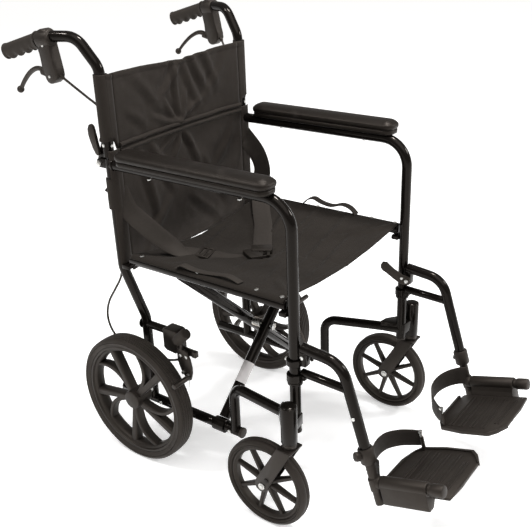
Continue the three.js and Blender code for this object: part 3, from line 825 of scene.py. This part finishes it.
# ---- footrests
def on_hanger(z):
    """The place at height z on the hanger's sloping tube."""
    return Vector((HANGER_X, ELBOW[0] - (ELBOW[1] - z) * HANGER_SLOPE, z))


FOOT_FORWARD = Vector((0, -cos(FOOT_PITCH), sin(FOOT_PITCH)))
FOOT_UP = Vector((0, sin(FOOT_PITCH), cos(FOOT_PITCH)))
FOOT_BASIS = ((-1, 0, 0), FOOT_FORWARD, FOOT_UP, FOOT_PIVOT)


def on_pivot(along):
    return FOOT_PIVOT + FOOT_FORWARD * along


def footrest(s):
    p = Piece()
    p.tube(bent([(HANGER_X, -444, 408), (HANGER_X, *ELBOW), on_hanger(208)], 48), TUBE_R, 24)
    p.rod((HANGER_X, -442, 354), on_hanger(350), 8.5)
    p.block((204, 222), (-455, -438), (372, 410), 2)
    p.block((206, 220), (-451, -438), (340, 352), 1.5)
    for low, high in ((371, 384), (336, 352)):
        ring = [(12.4, low), (15.4, low), (16.5, low + 1.2), (16.5, high - 1.2), (15.4, high), (12.4, high)]
        p.collar(ring, lambda across, back, z: (FRAME_X + across, FRONT_POST_Y + back, z))
    p.done("hanger_tube", PAINT, "footrest", s, "hanger")
    clamp = Piece()
    clamp.tube([on_hanger(237), on_hanger(235), on_hanger(209), on_hanger(207)],
               lambda t: 14 + 1.6 * sin(pi * min(1, max(0, t))), 32)
    tip = on_hanger(221) + Vector((19, 12, 3))
    clamp.rod(on_hanger(221), tip, 6.5, 24)
    clamp.rod(tip - Vector((6, 3.8, 1)), tip + Vector((3, 1.9, 0.5)), 9.5, 8, 2)
    clamp.rod(on_hanger(216) + Vector((0, -12, 4)), on_hanger(222) + Vector((0, 18, -6)), 5.5, 20, 1)
    clamp.done("hanger_clamp", PLASTIC, "footrest", s)
    rods("hanger_pins", ZINC, "footrest", s,
         (on_hanger(298) + Vector((10, 0, 0)), on_hanger(298) + Vector((13, 0, 0)), 3.6, 16, 0.7),
         ((FRAME_X - 6, -447, 391), (FRAME_X + 4.5, -447, 391), 4, 16, 0.7),
         ((FRAME_X, -408, 378), (FRAME_X, -414, 378), 4, 16, 0.7))
    catch = Piece()
    along, across = Vector((-0.42, 0.9075, 0)), Vector((0.9075, 0.42, 0))
    basis = (along, (0, 0, 1), across, (196, -452, 0))
    catch.prism([(-4, 374), (14, 376), (30, 388), (46, 403), (55, 407), (60, 414), (60, 422), (55, 429),
                 (46, 428), (30, 412), (10, 396), (-6, 392)], basis, -2.5, 2.5, 1.2)
    catch.done("catch_paddle", PLASTIC, "catch", s, "hanger_release")
    rods("catch_pin", ZINC, "catch", s,
         (Vector((194.7, -449.3, 384)) - across * 5, Vector((194.7, -449.3, 384)) + across * 5, 4.6, 6, 0.6),
         (Vector((190.5, -440, 391)) - across * 4.2, Vector((190.5, -440, 391)) - across * 2.2, 3.2, 16, 0.5))
    slider = Piece()
    slider.tube([on_hanger(302), on_hanger(122)], 9.2, 24)
    slider.tube([(HANGER_X, -600, 164), on_pivot(2), on_pivot(140)], 6, 20)
    slider.rod(on_pivot(-5), on_pivot(13), 12.6, 28, 1.5)
    slider.rod(on_hanger(176), on_hanger(150), 11.4, 28, 1.5)
    slider.done("slider_tube", PLASTIC, "slider", s, "extension")
    rods("plate_end_knob", PLASTIC, "slider", s,
         (on_pivot(112.6), on_pivot(118), 10.6, 32, 1),
         (on_pivot(117), on_pivot(144.6), 12.4, 36, 4))
    plate(s)
    heel_strap(s)


def plate(s):
    p = Piece()
    outline = [(14, 14), (22, -3), (60, -9), (115, -8), (150, 2), (165, 12), (173, 60), (174, 119),
               (160, 132), (136, 145), (60, 145), (14, 142)]
    p.prism(outline, FOOT_BASIS, -29.5, -23.2, 2)
    p.rod(on_pivot(13.8), on_pivot(112), 13.6, 44, 1.5)
    across_pivot = ((-1, 0, 0), FOOT_UP, FOOT_FORWARD, FOOT_PIVOT)
    section = [(-13.4, 0), (-13.4, -37), (-12, -40.5), (-8, -42), (4, -42), (7.5, -40), (9.5, -34),
               (13, -29.3), (20, -29), (20, -23), (15, -14), (12.5, -4)]
    p.prism(section, across_pivot, 15, 111, 1.2)
    for k in range(5):
        along = 22 + k * 23.5
        reach = 158 if along < 110 else 136
        for shift in (0, 7.5):
            low, high = along + shift, along + shift + 4.6
            p.prism([(30, low), (reach, low), (reach, high), (30, high)], FOOT_BASIS, -24, -21.8, 0.9)
    rim = [(150, -1), (168, 10), (177, 60), (177, 119), (163, 133), (137, 147), (136, 142), (159, 129),
           (171, 117), (171, 60), (163, 15), (148, 4)]
    p.prism(rim, FOOT_BASIS, -29.5, -20.6, 1.2)
    front_rim = [(30, -12), (115, -11), (150, -1), (148, 4), (114, -5), (30, -6)]
    p.prism(front_rim, FOOT_BASIS, -29.5, -20.6, 1.2)
    foot = FOOT_PIVOT + Vector((-161, 0, 0)) + FOOT_FORWARD * 17
    p.tube([foot + FOOT_UP * -26, foot + FOOT_UP * -8, foot + FOOT_UP * 7], 4.2, 16)
    rods("heel_post_cap", ZINC, "plate", s,
         (foot + FOOT_UP * 5, foot + FOOT_UP * 20, 3, 16, 1.2),
         (foot + FOOT_UP * 16, foot + FOOT_UP * 21, 4.6, 16, 1.2))
    p.done("plate_tread", PLASTIC, "plate", s, "footplate", sharp=45)


# A strap's cross-section, slightly domed: shares of its half width and of its half thickness.
STRAP_SECTION = ((1, 0.7), (0.97, 1), (0.5, 1.15), (0, 1.2), (-0.5, 1.15), (-0.97, 1), (-1, 0.7), (-1, -0.7),
                 (-0.97, -1), (-0.5, -0.85), (0, -0.8), (0.5, -0.85), (0.97, -1), (1, -0.7))


def ribbon(p, line, up, half, thick):
    """A flat strap: line is its middle, up its width direction at each point or one for all."""
    line = [Vector(q) for q in line]
    ups = [Vector(u).normalized() for u in (up if isinstance(up[0], (tuple, Vector)) else [up] * len(line))]
    rings = []
    for i, (q, u) in enumerate(zip(line, ups)):
        wide = half(i / (len(line) - 1)) if callable(half) else half
        t = (line[min(i + 1, len(line) - 1)] - line[max(i - 1, 0)]).normalized()
        u = (u - t * u.dot(t)).normalized()
        n = t.cross(u)
        rings.append([q + u * wide * a + n * thick / 2 * b for a, b in STRAP_SECTION])
    return p.loft(rings)


def heel_strap(s):
    line = smooth_path([(199, -604, 186), (189, -588, 185), (165, -573, 184), (135, -566, 183),
                        (104, -568, 180), (76, -582, 176), (58, -600, 173), (50, -612, 172),
                        (46, -618, 172)], 5)
    p = Piece()
    ribbon(p, line, (0, 0.1, 1), lambda share: 21 - 4 * share, 2.2)
    piece = p.done("heel_strap", WEBBING, "slider", s, "heel_loop", sharp=75, ride=False)
    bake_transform(piece)


# ---- upholstery
def cloth(name, rows, thick, material, replaces):
    """A sheet of cloth from rows of points, given a little thickness."""
    bm = bmesh.new()
    grid = [[bm.verts.new(p) for p in row] for row in rows]
    for a, b in zip(grid, grid[1:]):
        for i in range(len(a) - 1):
            bm.faces.new((a[i], a[i + 1], b[i + 1], b[i]))
    bmesh.ops.recalc_face_normals(bm, faces=bm.faces[:])
    for v in bm.verts:
        v.co = Vector((v.co.x * MM, v.co.y * MM + AXLE_Y, v.co.z * MM))
    for face in bm.faces:
        face.smooth = True
    piece = new_object(name, bm, material)
    solid = piece.modifiers.new("thickness", "SOLIDIFY")
    solid.thickness, solid.offset = thick * MM, 0
    bpy.context.view_layer.update()
    mesh = bpy.data.meshes.new_from_object(piece.evaluated_get(bpy.context.evaluated_depsgraph_get()))
    piece.modifiers.clear()
    piece.data = mesh
    for polygon in mesh.polygons:
        polygon.use_smooth = True
    dress(replaces)
    return piece


def crease(x, y, z, size, seed):
    return noise.noise(Vector((x / size + seed, y / size, z / size)))


def folds(a, b, lines):
    """Height of a few soft creases; each runs from one point to another and fades at both ends."""
    total = 0.0
    for a0, b0, a1, b1, width, height in lines:
        da, db = a1 - a0, b1 - b0
        length = hypot(da, db)
        share = ((a - a0) * da + (b - b0) * db) / length ** 2
        if -0.15 < share < 1.15:
            fade = sin(pi * (share + 0.15) / 1.3) ** 0.7
            off = ((a - a0) * db - (b - b0) * da) / length / width + 0.5 * sin(3.1 * share + a0)
            total += 2.5 * height * fade * (exp(-off * off) - 0.6 * exp(-(off - 1.7) ** 2))
    return total


SEAT_FOLDS = [(185, -292, -30, -330, 9, 1.6), (150, -235, -60, -262, 10, 1.5), (195, -130, 60, -172, 9, 1.7),
              (130, -350, -80, -378, 8, 1.5), (190, -205, 70, -222, 7, 1.4), (-190, -335, -50, -300, 9, 1.5),
              (-195, -95, -90, -140, 9, 1.6), (-185, -240, -60, -228, 10, 1.3), (60, -60, -70, -96, 11, 1.5),
              (202, -395, 120, -330, 8, 1.8), (-202, -395, -130, -335, 8, 1.8), (200, -40, 130, -90, 9, 1.6)]
UPPER_FOLDS = [(-9, 880, -5, 752, 6, 2.4), (24, 880, -58, 808, 8, 2.0), (40, 880, 92, 800, 9, 2.4),
               (82, 880, 128, 790, 9, 2.0), (22, 874, 62, 768, 9, 1.8), (-6, 738, -48, 794, 6, 2.2),
               (-2, 738, 26, 798, 6, 2.4), (0, 738, 66, 774, 6, 2.0), (-6, 738, -84, 764, 7, 1.8),
               (-150, 866, -64, 792, 12, 1.5), (152, 852, 92, 770, 12, 1.6), (-170, 800, -110, 750, 10, 1.4)]
LOWER_FOLDS = [(-150, 716, -92, 560, 11, 2.6), (-112, 720, -36, 602, 10, 2.4), (8, 718, 62, 622, 8, 2.4),
               (0, 718, -30, 660, 6, 2.2), (-60, 566, -142, 474, 11, 2.3), (58, 642, 150, 522, 12, 2.2),
               (2, 718, 34, 676, 5, 1.8), (-4, 718, -66, 684, 6, 1.8), (-170, 600, -120, 500, 9, 2.2),
               (30, 560, 110, 474, 10, 2.0), (170, 690, 110, 610, 10, 2.0)]


def seat_sheet():
    """The sling: wrapped round both rails, sagging between them, with a welted front hem."""
    wrap_r = TUBE_R + 1.8
    wrap = [(FRAME_X + wrap_r * cos(radians(a)), SEAT_Z + wrap_r * sin(radians(a)))
            for a in range(32, 91, 10)]
    top_z = SEAT_Z + wrap_r
    rows = []
    length = SEAT_BACK - 4 - SEAT_FRONT
    for j in range(SEAT_ROWS + 1):
        back_share = j / SEAT_ROWS
        y = SEAT_FRONT + 2 + (length - 2) * j / SEAT_ROWS
        sag = 17 + 8 * sin(pi * min(1, back_share * 0.8)) + 9 * back_share ** 3
        line = []
        for k in range(COLUMNS + 1):
            x = FRAME_X - 2 * FRAME_X * k / COLUMNS
            u = x / FRAME_X
            z = top_z - sag * (1 - abs(u) ** 1.7)
            # wrinkles, then the front hem and its stitching, then the seams by the rails and in the middle
            z += 2.0 * crease(x * 0.6, y, 0, 46, 3.1) * (1 - u * u)
            z += 1.1 * crease(x * 0.4, y, 0, 18, 9.7) * (1 - u * u)
            z += 1.1 * folds(x, y, SEAT_FOLDS)
            z += 1.6 * exp(-((y - SEAT_FRONT - 9) / 5) ** 2)
            z -= 1.0 * exp(-((y - SEAT_FRONT - 20) / 2.5) ** 2)
            z -= 0.9 * exp(-((abs(x) - 196) / 2.2) ** 2) + 0.9 * exp(-(x / 2.2) ** 2)
            line.append((x, z))
        right = [(-x, z) for x, z in reversed(wrap)]
        rows.append([(x, y, z) for x, z in wrap + line[1:-1] + right])
    piece = cloth("seat_sling", rows, 2.2, SEAT_CLOTH, ["seat_half_left", "seat_half_right"])
    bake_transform(piece)


def seat_trim(s):
    screws = Piece()
    for y in (-48, -200, -345, -404):
        screws.rod((FRAME_X, y, SEAT_Z + 13.2), (FRAME_X, y, SEAT_Z + 15.6), 4.6, 20, 0.9)
    screws.done("seat_screws", ZINC, SEAT_BRACE[s], s)
    strap = Piece()
    if s < 0:
        way = [(223, -150, 508), (222, -164, 516), (219, -186, 511), (216, -210, 509), (212, -240, 510),
               (211, -268, 514), (213, -292, 511), (214, -304, 508)]
    else:
        way = [(219, -160, 508), (219, -172, 520), (219, -190, 527), (219, -212, 520), (219, -240, 517),
               (219, -268, 525), (219, -290, 521), (219, -306, 508)]
    line = smooth_path(way, 5)
    ribbon(strap, line, (1, 0, 0.1), 8, 2)
    piece = strap.done("carry_strap", WEBBING, SEAT_BRACE[s], s, sharp=75)


def back_rows(z0, z1, bow, wrap_from, lines, seed):
    """Rows of cloth between the posts, turned round each of them as far as wrap_from degrees."""
    wrap_r = TUBE_R + 2
    rows = []
    count = round((z1 - z0) / 3)
    for j in range(count + 1):
        z = z0 + (z1 - z0) * j / count
        centre_y = 16 if z1 > CREASE_Z else REAR_POST_Y
        wrap = [(FRAME_X + wrap_r * cos(radians(a)), centre_y + wrap_r * sin(radians(a)))
                for a in range(wrap_from, -90, -14)]
        line = []
        for k in range(COLUMNS + 1):
            x = FRAME_X - 2 * FRAME_X * k / COLUMNS
            u = x / FRAME_X
            y = centre_y - wrap_r + bow * (1 - abs(u) ** 2.2)
            calm = 1 - u ** 4
            y += (2.6 * crease(x * 0.8, 0, z * 0.35, 52, seed)
                  + 0.9 * crease(x, 0, z * 0.7, 15, seed + 5)) * calm
            y -= folds(x, z, lines) * calm
            y += sum(1.0 * exp(-((abs(x) - seam) / 1.8) ** 2) for seam in (186, 199))
            line.append((x, y))
        rows.append([(x, y, z) for x, y in wrap + line + [(-x, y) for x, y in reversed(wrap)]])
    return rows


def hem(rows, index, step):
    """A turned edge: the last few rows stand a little proud."""
    for k, proud in enumerate((1.0, 1.3, 1.3, 0.9, -0.5)):
        row = rows[index + step * k]
        for i, (x, y, z) in enumerate(row):
            if abs(x) < FRAME_X:
                row[i] = (x, y - proud, z)


def back_panel(name, rows, node, bodies, posts):
    """A panel between the two post seams, and a sleeve on each post that moves with its own side."""
    seam = (len(rows[0]) - COLUMNS - 1) // 2 + SEAM_COLUMN
    parts = ((f"{name}_sleeve_left", slice(None, seam + 1), bodies[0], [posts[0]]),
             (f"{name}_sleeve_right", slice(-seam - 1, None), bodies[1], [posts[1]]),
             (f"{name}_cloth", slice(seam, -seam), bodies[1],
              [f"{name}_sleeve_left", f"{name}_sleeve_right"]))
    for part_name, columns, body, rests_on in parts:
        part = [row[columns] for row in rows]
        whole = part_name.endswith("_cloth")
        piece = cloth(part_name, part, 2.2, BACK_CLOTH, [node] if whole else [])
        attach(piece, body)
        if whole:
            fold_to_right(piece)


def back_upper():
    low = CREASE_Z - 4
    rows = back_rows(low, BACK_TOP, 13, 266, UPPER_FOLDS, 2.3)
    hem(rows, -1, -1)
    for row in rows:
        for i, (x, y, z) in enumerate(row):
            share = (z - low) / (BACK_TOP - low)
            dip = 7.0 * share * exp(-(x / 105) ** 2) + 2.5 * share ** 3 * exp(-((x - 12) / 16) ** 2)
            lift = 22 * (1 - share) * max(0.0, min(1.0, (abs(x) - 203) / 7))
            tuck = 3.2 * max(0.0, 1 - max(0.0, z - CREASE_Z - 1) / 3)
            row[i] = (x, y + tuck, z - dip + lift)
    back_panel("back_upper", rows, "back_upper", ("back_left", "back_right"), ("cane_left", "cane_right"))


def back_lower():
    rows = back_rows(BACK_LOW, CREASE_Z, 17, -34, LOWER_FOLDS, 7.1)
    hem(rows, 0, 1)
    for row in rows:
        for i, (x, y, z) in enumerate(row):
            if abs(x) > 200:
                row[i] = (x, y, max(z, 474))
    back_panel("back_lower", rows, "back_lower", ("frame_left", "frame_right"),
               ("frame_tubes_left", "frame_tubes_right"))
    for name, low, body in (("crease_piping_upper", 733.5, "back_right"),
                            ("crease_piping_lower", 720.5, "frame_right")):
        welt = Piece()
        line = []
        for k in range(61):
            x = SEAM_X * (1 - k / 30)
            y = 16 - TUBE_R - 5 + 14 * (1 - abs(x / FRAME_X) ** 2.2)
            line.append((x, y, low + 1.6 * crease(x, 0, low, 60, 4)))
        welt.tube(line, 4.6, 14)
        fold_to_right(welt.done(name, BACK_CLOTH, body, sharp=80))


def fold_to_right(piece):
    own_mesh(piece)


WRAP_LOW, WRAP_HIGH = 603, 668
WRAP_R, WRAP_Y = 14.2, 13.5


def post_wraps(s):
    """The band that closes the lower back round its post, drawn in at both ends."""
    heights = [WRAP_LOW + (WRAP_HIGH - WRAP_LOW) * j / 12 for j in range(13)]
    rings = []
    for z in [heights[0], *heights, heights[-1]]:
        ring = []
        for a in range(0, 360, 12):
            r = WRAP_R + 0.5 * crease(a, 0, z, 14, 6 + s)
            angle = radians(a)
            ring.append(Vector((FRAME_X + r * cos(angle), WRAP_Y + r * sin(angle), z)))
        rings.append(ring)
    for end in (rings[0], rings[-1]):
        for v in end:
            v.x, v.y = FRAME_X + (v.x - FRAME_X) * 0.86, WRAP_Y + (v.y - WRAP_Y) * 0.86
    Piece().loft(rings).done("post_wrap", BACK_CLOTH, "frame", s, sharp=60)


# ---- lap belt
def belt(s):
    """A webbing half that leaves the rear post, drops inside the arm and lies on the seat."""
    if s < 0:
        middle = [(212, 30, 652), (206, 14, 636), (204, -6, 598), (190, -42, 562), (168, -72, 526),
                  (140, -92, 500), (120, -102, 493), (106, -132, 488), (98, -166, 486), (78, -196, 484),
                  (54, -212, 482)]
        facing = [(0.8, -0.6, 0.1), (0.8, -0.6, 0.2), (0.75, -0.55, 0.3), (0.65, -0.6, 0.4), (0.5, -0.6, 0.6),
                  (0.2, -0.35, 0.9), (0, -0.1, 1), (0.1, 0, 1), (0.1, 0, 1), (0, 0, 1), (0, 0, 1)]
        half = 20
    else:
        middle = [(219, 27, 668), (212, 8, 655), (207, -34, 618), (205, -50, 580), (198, -48, 546),
                  (178, -62, 516), (140, -92, 499), (92, -132, 489), (40, -168, 484), (2, -196, 483),
                  (-22, -212, 483)]
        facing = [(-0.6, -0.8, 0.1), (-0.7, -0.6, 0.2), (-0.9, -0.2, 0.3), (-0.95, -0.2, 0.2),
                  (-0.8, -0.4, 0.45), (-0.5, -0.4, 0.8), (-0.1, -0.1, 1), (0, 0, 1), (0, 0, 1), (0, 0, 1),
                  (0, 0, 1)]
        half = 21
    line = smooth_path(middle, 5)
    normals = smooth_path(facing, 5)
    widths = [(line[min(i + 1, len(line) - 1)] - line[max(i - 1, 0)]).cross(n)
              for i, n in enumerate(normals)]
    p = Piece()
    ribbon(p, line, widths, half, 1.8)
    piece = p.done("belt", WEBBING, "frame", s, "belt_half", sharp=75, ride=False)
    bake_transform(piece)
    return line


def buckle(s):
    """Side-release buckle half at the belt's end, and the slider on the right-hand strap."""
    line = belt(s)
    tip, way = line[-1], (line[-1] - line[-4]).normalized()
    across = way.cross(Vector((0, 0, 1))).normalized()
    basis = (across, way, Vector((0, 0, 1)), tip + Vector((0, 0, 1.5)))
    p = Piece()
    p.prism(rounded_box(23, 16, 5, 4), basis, -3.5, 7.5, 2.2)
    for offset in (-15, 0, 15):
        low, high = offset - 3.4, offset + 3.4
        p.prism([(low, 12), (high, 12), (high, 34), (low, 34)], basis, -1.5, 5, 1.4)
    p.done("buckle", LOCK_STEEL, BELT_BRACE[s], s)
    if s < 0:
        middle = line[len(line) * 8 // 12]
        way = (line[len(line) * 8 // 12 + 2] - middle).normalized()
        across = way.cross(Vector((0, 0, 1))).normalized()
        basis = (across, way, way.cross(across) * -1, middle + Vector((0, 0, 2)))
        slider = Piece()
        for low in (-15, -2.5, 10):
            slider.prism([(-22, low), (22, low), (22, low + 5), (-22, low + 5)], basis, -2.6, 2.8, 1.2)
        for low in (-24, 19):
            slider.prism([(low, -15), (low + 5, -15), (low + 5, 15), (low, 15)], basis, -2.6, 2.8, 1.2)
        slider.done("belt_slider", PLASTIC, BELT_BRACE[s], s, sided=False)


# ---- assembly
set_camera()
set_lights()
set_floor()
for s in (-1, 1):
    for make in (side_frame, armrest, rear_wheel, caster, cane, grip, brake, back_release, cable, wheel_lock,
                 footrest, seat_trim, post_wraps, buckle):
        make(s)
    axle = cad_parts[named("rear_axle", s)]
    axle.data.materials.clear()
    axle.data.materials.append(ZINC)
cross_brace()
seat_sheet()
back_upper()
back_lower()

bpy.context.view_layer.update()
